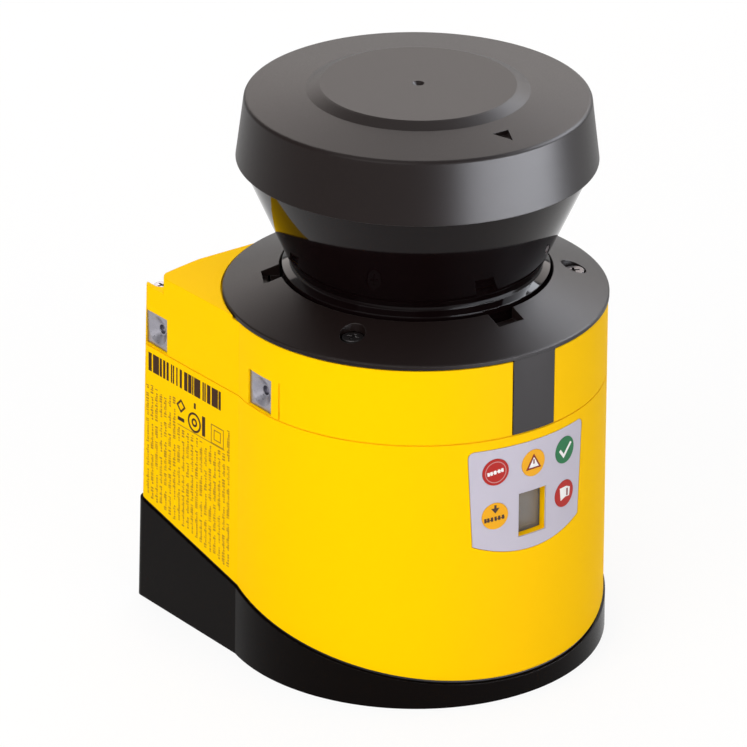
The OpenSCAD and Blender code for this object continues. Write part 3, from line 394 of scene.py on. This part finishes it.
def node_points(name):
    """A CAD node's vertices as an array, in metres."""
    mesh = frame["nodes"][name].data
    flat = np.empty(len(mesh.vertices) * 3, np.float32)
    mesh.vertices.foreach_get("co", flat)
    return flat.reshape(-1, 3).astype(float)


class FrontSkin:
    """The leaning round front: the radius falls in a straight line with height."""

    def __init__(self, node, depth):
        p = node_points(node)
        r = np.hypot(p[:, 0], p[:, 1])
        keep = r > r.max() - depth
        terms = np.stack([np.ones(keep.sum()), p[keep, 2]], 1)
        self.at_floor, self.lean = np.linalg.lstsq(terms, r[keep], rcond=None)[0]

    def place(self, flat, lift):
        """Flat points (distance round the front, height) carried onto the skin, raised by lift."""
        bare = self.at_floor + self.lean * flat[..., 1]
        r, turn = bare + lift, flat[..., 0] / bare
        return np.stack([r * np.sin(turn), -r * np.cos(turn), flat[..., 1]], -1)


class SideSkin:
    """The flat side wall: the plane of the node's largest facet that faces -X."""

    def __init__(self, node):
        facets = [f for f in frame["nodes"][node].data.polygons if f.normal.x < -0.98]
        wall = max(facets, key=lambda f: f.area)
        self.normal, self.offset = np.array(wall.normal), wall.normal.dot(wall.center)

    def place(self, flat, lift):
        """Flat points (distance back, height) carried onto the wall, raised by lift."""
        n = self.normal
        x = (self.offset - n[1] * flat[..., 0] - n[2] * flat[..., 1]) / n[0] - lift
        return np.stack([x, flat[..., 0], flat[..., 1]], -1)


# ---- mark shapes: lists of grids of (across, up) points in millimetres, each with whether it closes ----

def stroke(path, width):
    """A band along a path: each point moves half a width aside, along the mitre of its two legs."""
    path = np.asarray(path, float)
    legs = np.diff(path, axis=0)
    legs /= np.linalg.norm(legs, axis=1, keepdims=True)
    closed = np.allclose(path[0], path[-1])
    before = np.concatenate([legs[-1:] if closed else legs[:1], legs])
    after = np.concatenate([legs, legs[:1] if closed else legs[-1:]])
    sides = np.stack([-before[:, 1] - after[:, 1], before[:, 0] + after[:, 0]], -1)
    sides *= width / (1 + (before * after).sum(1, keepdims=True)) / 2
    grid = path[:, None] + np.array([-1, 1])[None, :, None] * sides[:, None]
    return [(grid[:-1] if closed else grid, closed)]


def fill(outline):
    """A filled outline: straight lines from its middle out to each point of the closed outline."""
    outline = np.asarray(outline, float)
    middle = outline.mean(0)
    return [(middle + (outline[:, None] - middle) * np.array([0, 0.5, 1])[None, :, None], True)]


def ring(centre, radius, width, sides=40):
    """A round band: the angle runs round, and the radius runs across the width."""
    angle = (np.arange(sides) * 2 * pi / sides)[:, None]
    r = (radius + np.array([-0.5, 0.5]) * width)[None, :]
    return [(np.stack([centre[0] + r * np.cos(angle), centre[1] + r * np.sin(angle)], -1), True)]


def bars(lows, highs, bottom, top):
    """Upright bars that share their foot and head: each is the rectangle between a low and a high side."""
    return [(np.array([[(a, bottom), (a, top)], [(b, bottom), (b, top)]], float), False)
            for a, b in zip(lows, highs)]


def sheet_faces(rows, cols, closed):
    """Quads over a grid and its copy below, joined by walls round every open edge."""
    index = np.arange(rows * cols).reshape(rows, cols)
    if closed:
        index = np.concatenate([index, index[:1]])
        edges = [index[:, -1], index[::-1, 0]]
    else:
        rim = np.concatenate([index[:-1, 0], index[-1, :-1], index[:0:-1, -1], index[0, :0:-1]])
        edges = [np.append(rim, rim[0])[::-1]]
    top = np.stack([index[:-1, :-1], index[1:, :-1], index[1:, 1:], index[:-1, 1:]], -1).reshape(-1, 4)
    under = rows * cols
    walls = [np.stack([e[:-1], e[1:], e[1:] + under, e[:-1] + under], -1) for e in edges]
    return np.concatenate([top, top[:, ::-1] + under, *walls])


def mark(name, shapes, skin, height, material, sink=0.02 * MM):
    """Thin slabs: each shape's top lies height above the skin, and its underside just inside it."""
    points, faces, start = [], [], 0
    for grid, closed in shapes:
        rows, cols = grid.shape[:2]
        points += [skin.place(grid * MM, lift).reshape(-1, 3) for lift in (height, -sink)]
        faces.append(sheet_faces(rows, cols, closed) + start)
        start += 2 * rows * cols
    mesh = bpy.data.meshes.new(name)
    mesh.from_pydata(np.concatenate(points).tolist(), [], np.concatenate(faces).tolist())
    work = bmesh.new()
    work.from_mesh(mesh)
    bmesh.ops.remove_doubles(work, verts=work.verts, dist=1e-7)
    bmesh.ops.dissolve_degenerate(work, edges=work.edges, dist=1e-8)
    bmesh.ops.recalc_face_normals(work, faces=work.faces)
    work.to_mesh(mesh)
    work.free()
    piece = bpy.data.objects.new(name, mesh)
    bpy.context.scene.collection.objects.link(piece)
    mesh.materials.append(material)
    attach(piece, BODY)


def printed(name, base, roughness=0.5):
    """Printing ink: a thin matt film with a little mottle."""
    return moulded(name, base, roughness, pitch=0.12 * MM, depth=0.002 * MM, edge=0.02 * MM, drift=0.25,
                   drift_scale=300.0, wear=0.0, specular=0.1)


# ---- stage ----

def curved_floor():
    """A disc that curves up into a wall all round.

    The profile (distance, height) is flat, then a quarter circle, then straight up. It is turned about the
    upright axis: each ring of points is the distance times the cosine and sine of the turn.
    """
    bend = np.linspace(0, pi / 2, BEND_STEPS)
    curve = np.stack([BEND_START + BEND_RADIUS * np.sin(bend), BEND_RADIUS * (1 - np.cos(bend))], -1)
    profile = np.concatenate([[(r, 0) for r in FLOOR_RINGS], curve, [(BEND_START + BEND_RADIUS, WALL_TOP)]])
    turn = np.arange(FLOOR_SIDES) * 2 * pi / FLOOR_SIDES
    points = np.stack([profile[:, 0] * np.cos(turn)[:, None], profile[:, 0] * np.sin(turn)[:, None],
                       np.broadcast_to(profile[:, 1], (FLOOR_SIDES, len(profile)))], -1)
    index = np.arange(FLOOR_SIDES * len(profile)).reshape(FLOOR_SIDES, -1)
    after = np.roll(index, -1, axis=0)
    quads = np.stack([index[:, :-1], index[:, 1:], after[:, 1:], after[:, :-1]], -1).reshape(-1, 4)
    mesh = bpy.data.meshes.new("floor")
    mesh.from_pydata(points.reshape(-1, 3).tolist(), [], quads.tolist() + [index[:, 0].tolist()])
    floor = bpy.data.objects.new("floor", mesh)
    floor.location.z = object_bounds()[0].z - FLOOR_DROP
    bpy.context.scene.collection.objects.link(floor)
    return floor


def pale_floor(base):
    """A matt floor that gives its own white where the camera, a reflection or glass sees it."""
    material, tree, shader = new_material("Pale floor")
    shader.inputs["Base Color"].default_value = (*base, 1.0)
    shader.inputs["Roughness"].default_value = 0.9
    shader.inputs["Specular IOR Level"].default_value = 0.0
    path = add(tree, "ShaderNodeLightPath")
    mirrored = maths(tree, "ADD", path.outputs["Is Glossy Ray"], path.outputs["Is Transmission Ray"])
    seen = maths(tree, "ADD", path.outputs["Is Camera Ray"], mirrored, clamp=True)
    glow = add(tree, "ShaderNodeEmission", {"Color": (1.0, 1.0, 1.0), "Strength": 1.0}).outputs[0]
    mix = add(tree, "ShaderNodeMixShader", {0: maths(tree, "MULTIPLY", seen, FLOOR_GLOW),
                                            1: shader.outputs[0], 2: glow})
    tree.links.new(mix.outputs[0], tree.nodes["Material Output"].inputs[0])
    return material


def soft_light(name, power, place, size, tint, aim, lights_walls):
    """An area light that faces a point and that the camera doesn't see."""
    lamp = bpy.data.lights.new(name, "AREA")
    lamp.shape, lamp.size, lamp.size_y = "RECTANGLE", *size
    lamp.energy, lamp.color = power, tint
    holder = bpy.data.objects.new(name, lamp)
    holder.location = place
    holder.rotation_euler = (Vector(aim) - Vector(place)).to_track_quat("-Z", "Y").to_euler()
    holder.visible_camera, holder.visible_diffuse = False, lights_walls
    bpy.context.scene.collection.objects.link(holder)


# ---- operators ----

class SCANNER_OT_housing(bpy.types.Operator):
    """Coats the two housing halves"""
    bl_idname = "scanner.housing"
    bl_label = "Coat housing"

    def execute(self, context):
        s = context.scene.scanner_housing
        dress({
            "yellow_housing": moulded("Yellow coat", s.coat, s.gloss_roughness, pitch=0.9 * MM,
                                      depth=s.orange_peel, edge=s.edge_radius, drift=0.05, drift_scale=18.0,
                                      wear=0.12, wear_colour=(1.0, 0.80, 0.10), speckle=0.06, specular=0.01),
        })
        return {"FINISHED"}


class SCANNER_OT_plastics(bpy.types.Operator):
    """Finishes the cap, ring plate, base, glands, seals and covers"""
    bl_idname = "scanner.plastics"
    bl_label = "Finish plastics"

    def execute(self, context):
        s = context.scene.scanner_plastic
        grain = {"pitch": s.grain_size, "depth": s.grain_depth}
        dress({
            "brown_black": moulded("Grained brown black", s.brown_black, 0.39, **grain, drift=0.22,
                                   wear=0.3, speckle=0.1, specular=0.15),
            "black_plastic": moulded("Base black", s.base_black, 0.24, **grain, drift=0.2, wear=0.1,
                                     speckle=0.08, specular=0.035),
            "dark_plastic": moulded("Dark plastic", s.dark, 0.5, **grain, wear=0.3),
            "seal_rubber": moulded("Seal rubber", (0.012, 0.012, 0.012), 0.75, pitch=0.4 * MM, depth=0.01 * MM,
                                   wear=0.0, specular=0.3),
            "seal_grey": moulded("Gland seal", (0.07, 0.07, 0.075), 0.7, pitch=0.4 * MM, depth=0.01 * MM,
                                 wear=0.0),
            "optics_dark": moulded("Infrared cover", (0.004, 0.0018, 0.002), 0.05, pitch=8 * MM,
                                   depth=0.002 * MM, edge=0.2 * MM, drift=0.4, wear=0.0, speckle=0.02,
                                   specular=0.12),
        })
        return {"FINISHED"}


class SCANNER_OT_metals(bpy.types.Operator):
    """Finishes screws, inserts, the cast frame and the turned parts"""
    bl_idname = "scanner.metals"
    bl_label = "Finish metals"

    def execute(self, context):
        metal = {"metallic": 1.0, "wear_colour": (0.9, 0.9, 0.9)}
        turned = {**metal, "rings": True, "speckle": 0.1, "drift": 0.12}
        dress({
            "screw_steel": moulded("Zinc screws", (0.11, 0.10, 0.10), 0.42, **metal, edge=0.12 * MM, drift=0.3,
                                   drift_scale=400.0),
            "insert_steel": moulded("Insert steel", (0.34, 0.33, 0.37), 0.34, **metal, pitch=0.5 * MM,
                                    depth=0.02 * MM, edge=0.2 * MM, drift=0.5, drift_scale=350.0, speckle=0.2),
            "brass": moulded("Turned brass", (0.72, 0.53, 0.22), 0.28, **turned),
            "cast_frame": moulded("Die casting", (0.50, 0.50, 0.51), 0.5, **metal, pitch=0.6 * MM,
                                  depth=0.02 * MM, drift=0.25),
            "turned_aluminium": moulded("Turned aluminium", (0.72, 0.73, 0.74), 0.3, **turned),
            "bearing_steel": moulded("Ground steel", (0.66, 0.66, 0.68), 0.18, **turned),
            "core_steel": moulded("Stamped steel", (0.40, 0.40, 0.42), 0.38, **turned),
            "magnet": moulded("Magnet ring", (0.10, 0.10, 0.11), 0.55, **metal),
        })
        return {"FINISHED"}


class SCANNER_OT_inside(bpy.types.Operator):
    """Finishes boards, windings, lenses and the mirror"""
    bl_idname = "scanner.inside"
    bl_label = "Finish boards and optics"

    def execute(self, context):
        dress({
            "circuit_board": board("Circuit board", (0.012, 0.12, 0.05)),
            "copper_coil": wound("Copper winding", (0.70, 0.30, 0.10)),
            "lens_glass": clear_glass("Lens glass", (0.92, 0.97, 0.98), 0.02),
            "mirror_glass": moulded("Mirror glass", (0.92, 0.94, 0.96), 0.03, pitch=8 * MM, depth=0.001 * MM,
                                    drift=0.03, wear=0.0, speckle=0.01, metallic=1.0),
            "display_pane": clear_glass("Display pane", (0.30, 0.28, 0.26), 0.15, alpha=0.55),
        })
        return {"FINISHED"}


class SCANNER_OT_lamps(bpy.types.Operator):
    """Colours the indicator panel and its lamps, and prints their marks"""
    bl_idname = "scanner.lamps"
    bl_label = "Finish indicator panel"

    def execute(self, context):
        s = context.scene.scanner_panel
        lens = {"pitch": 0.5 * MM, "depth": 0.003 * MM, "edge": 0.1 * MM, "drift": 0.12, "wear": 0.0,
                "speckle": 0.05, "specular": 0.12}
        dress({
            "panel_grey": moulded("Panel film", s.film, 0.42, pitch=0.15 * MM, depth=0.003 * MM,
                                  edge=0.15 * MM, drift=0.06, wear=0.2, wear_colour=(0.8, 0.8, 0.85),
                                  specular=0.12),
            "red_lamp": moulded("Red lamp", s.red, 0.3, **lens),
            "amber_lamp": moulded("Amber lamp", s.amber, 0.3, **lens),
            "green_lamp": moulded("Green lamp", s.green, 0.3, **lens),
        })
        skin = FrontSkin("display_panel", 0.4 * MM)
        white = printed("White ink", s.white_ink)
        dark = printed("Dark ink", s.dark_ink)
        red = printed("Red ink", [c * 0.45 for c in s.red])
        pink = printed("Pink ink", [0.75 * r + 0.25 * w for r, w in zip(s.red, s.white_ink)])
        base = s.ink_height + LAMP_PROUD

        def centre(node):
            """The lamp's middle as (distance round the front, height) in millimetres."""
            low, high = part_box(node)
            mid = (low + high) / 2
            return np.array([np.arctan2(mid.x, -mid.y) * (skin.at_floor + skin.lean * mid.z), mid.z]) / MM

        def on_lamp(node, name, shapes, ink, layer=0):
            """Prints shapes, drawn round nought, on the middle of a lamp."""
            moved = [(grid + centre(node), closed) for grid, closed in shapes]
            mark(name, moved, skin, base + layer * s.ink_height, ink)

        on_lamp("stop_lamp", "stop_ring", ring((0, 0), 2.85, 0.22), pink)
        dashes = [shape for x in (-2.0, -1.2, -0.2, 0.9, 1.8)
                  for shape in stroke([(x - 0.32, x / 6 - 0.05), (x + 0.32, x / 6 + 0.05)], 1.0)]
        dashes += stroke([(-2.3, -0.35), (2.1, 0.35)], 0.25)
        on_lamp("stop_lamp", "stop_mark", dashes, white)
        triangle = [(-2.0, -1.4), (2.0, -1.4), (0.0, 2.1)]
        on_lamp("warning_lamp", "warning_mark", fill(triangle), white)
        on_lamp("warning_lamp", "warning_edge", stroke([*triangle, triangle[0]], 0.42)
                + stroke([(0, 1.0), (0, -0.2)], 0.4), red, 1)
        on_lamp("clear_lamp", "clear_mark", stroke([(-2.1, 0.4), (-0.6, -1.55), (2.3, 1.5)], 0.75),
                white)
        arrow = stroke([(0, 3.1), (0, 1.9)], 0.6) + fill([(-1.15, 2.2), (1.15, 2.2), (0.0, 0.8)])
        dashes = [shape for x in (-2.7, -1.9, -0.9, 0.1, 1.1, 2.2)
                  for shape in stroke([(x - 0.3, x / 14 - 0.72), (x + 0.3, x / 14 - 0.68)], 1.15)]
        dashes += stroke([(-3.0, -1.1), (2.6, -0.7)], 0.25)
        on_lamp("cleaning_lamp", "cleaning_mark", arrow + dashes, dark)
        on_lamp("service_lamp", "service_mark",
                fill([(-1.9, 1.9), (0.6, 1.9), (2.2, 1.2), (1.9, -1.2), (0.3, -1.0), (-1.5, -1.6)]),
                white)
        on_lamp("service_lamp", "service_bar", stroke([(0.95, 1.2), (0.95, -0.8)], 0.55), red, 1)
        return {"FINISHED"}


class SCANNER_OT_side_print(bpy.types.Operator):
    """Prints the plain bars, rows and frames on the flat side"""
    bl_idname = "scanner.side_print"
    bl_label = "Print side field"

    def execute(self, context):
        s = context.scene.scanner_print
        skin = SideSkin("lower_housing")
        bar, row = printed("Bar ink", s.bar_ink), printed("Row ink", s.row_ink)
        draw = np.random.default_rng(s.seed)

        # the strip of upright bars under the seam: bar widths and gaps follow each other
        widths = draw.choice([0.5, 0.9, 1.4, 2.6], size=30, p=[0.35, 0.3, 0.2, 0.15])
        gaps = draw.choice([0.35, 0.6, 1.0], size=30)
        sides = BARS_FRONT + np.cumsum(np.column_stack([widths, gaps]).ravel())
        sides = np.insert(sides[sides < BARS_REAR], 0, BARS_FRONT)
        sides = sides[:len(sides) // 2 * 2]
        mark("side_bars", bars(sides[::2], sides[1::2], BARS_FOOT, BARS_HEAD), skin, s.height, bar)

        # unreadable rows that run up the wall: each stroke crosses its row
        strokes = []
        for y in np.arange(ROWS_FRONT, ROWS_REAR, ROW_PITCH):
            foot = SLOPE_FOOT + SLOPE_RISE * y + draw.uniform(1.8, 3.0)
            head = ROW_TOP_UNDER_MARKS if MARKS_FRONT <= y <= MARKS_REAR else ROW_TOP
            while foot < head:
                word = foot + draw.uniform(3.0, 9.0)
                while foot < min(word, head):
                    wide = draw.choice([0.28, 0.45])
                    strokes += bars([y - 0.55], [y + draw.choice([0.1, 0.55])], foot, foot + wide)
                    foot += wide + draw.choice([0.25, 0.4])
                foot += draw.uniform(0.6, 1.4)
        mark("side_rows", strokes, skin, s.height, row)

        # plain marks: a round, a turned square, three bars, a framed square and a rule
        shapes = ring((29.2, 59.4), 2.5, 0.6) + ring((29.2, 59.4), 0.9, 0.6)
        shapes += stroke([(33.4, 62.0), (35.0, 60.4), (36.6, 62.0), (35.0, 63.6), (33.4, 62.0)], 0.55)
        shapes += stroke([(33.6, 58.2), (36.4, 58.2)], 1.0)
        shapes += stroke([(25.2, 62.6), (25.2, 57.0)], 1.3)
        shapes += stroke([(29.0, 63.4), (29.0, 65.0)], 0.8)
        mark("side_marks", shapes, skin, s.height, bar)
        for size in (2.6, 1.35):
            corners = [(-1, -1), (1, -1), (1, 1), (-1, 1), (-1, -1)]
            square = [(19.3 + size * a, 59.2 + size * b) for a, b in corners]
            mark(f"side_square_{size:.0f}", stroke(square, 0.3), skin, s.height, row)
        mark("side_rule", stroke([(36.5, 56.4), (16.2, 56.4)], 0.25), skin, s.height, row)
        return {"FINISHED"}


class SCANNER_OT_stage(bpy.types.Operator):
    """Sets the camera, the lights and the floor"""
    bl_idname = "scanner.stage"
    bl_label = "Set stage"

    def execute(self, context):
        s = context.scene.scanner_stage
        scene = context.scene
        camera = bpy.data.objects.new("camera", bpy.data.cameras.new("camera"))
        camera.data.lens, camera.data.sensor_width = s.focal, 36.0
        camera.data.clip_end = 100.0
        spot = Matrix.Rotation(s.azimuth, 4, "Z") @ Vector((0.0, -s.distance, s.camera_height, 1.0))
        turn = (Matrix.Rotation(s.azimuth + s.pan, 4, "Z")
                @ Matrix.Rotation(pi / 2 - s.tilt, 4, "X") @ Matrix.Rotation(s.roll, 4, "Z"))
        camera.matrix_world = Matrix.Translation(spot.to_3d()) @ turn
        scene.collection.objects.link(camera)
        scene.camera = camera

        for name, (place, size, tint, aim, lights_walls) in LIGHTS.items():
            soft_light(name, getattr(s, name), place, size, tint, aim, lights_walls)

        floor = curved_floor()
        floor.data.materials.append(pale_floor(s.floor))
        floor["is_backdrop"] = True

        world = bpy.data.worlds.new("studio")
        world.use_nodes = True
        scene.world = world
        tree = world.node_tree
        link_in(tree, tree.nodes["Background"].inputs["Color"], (1.0, 1.0, 1.0))
        link_in(tree, tree.nodes["Background"].inputs["Strength"], s.ambient)
        scene.view_settings.view_transform = "Standard"
        return {"FINISHED"}


class SCANNER_PT_sidebar(bpy.types.Panel):
    """The scanner's settings and steps"""
    bl_label = "Safety laser scanner"
    bl_idname = "SCANNER_PT_sidebar"
    bl_space_type = "VIEW_3D"
    bl_region_type = "UI"
    bl_category = "Scanner"

    def draw(self, context):
        for field, group, steps in SECTIONS:
            box = self.layout.box()
            if field:
                box.label(text=group.__doc__)
                for name in group.__annotations__:
                    box.prop(getattr(context.scene, field), name)
            for step in steps:
                box.operator(step.bl_idname)


SECTIONS = [
    ("scanner_stage", StageSettings, [SCANNER_OT_stage]),
    ("scanner_housing", HousingSettings, [SCANNER_OT_housing]),
    ("scanner_plastic", PlasticSettings, [SCANNER_OT_plastics]),
    (None, None, [SCANNER_OT_metals, SCANNER_OT_inside]),
    ("scanner_panel", PanelSettings, [SCANNER_OT_lamps]),
    ("scanner_print", PrintSettings, [SCANNER_OT_side_print]),
]
CLASSES = ([group for _, group, _ in SECTIONS if group]
           + [step for _, _, steps in SECTIONS for step in steps] + [SCANNER_PT_sidebar])


def register():
    """Registers the classes and hangs the settings on the scene."""
    for item in CLASSES:
        bpy.utils.register_class(item)
    for field, group, _ in SECTIONS:
        if field:
            setattr(bpy.types.Scene, field, PointerProperty(type=group))


def unregister():
    """Takes the settings and classes away again."""
    for field, _, _ in SECTIONS:
        if field:
            delattr(bpy.types.Scene, field)
    for item in reversed(CLASSES):
        bpy.utils.unregister_class(item)


def main():
    """Registers the settings, then runs every step in turn to build the looks."""
    register()
    for _, _, steps in SECTIONS:
        for step in steps:
            group, name = step.bl_idname.split(".")
            getattr(getattr(bpy.ops, group), name)()


if __name__ == "__main__":
    main()
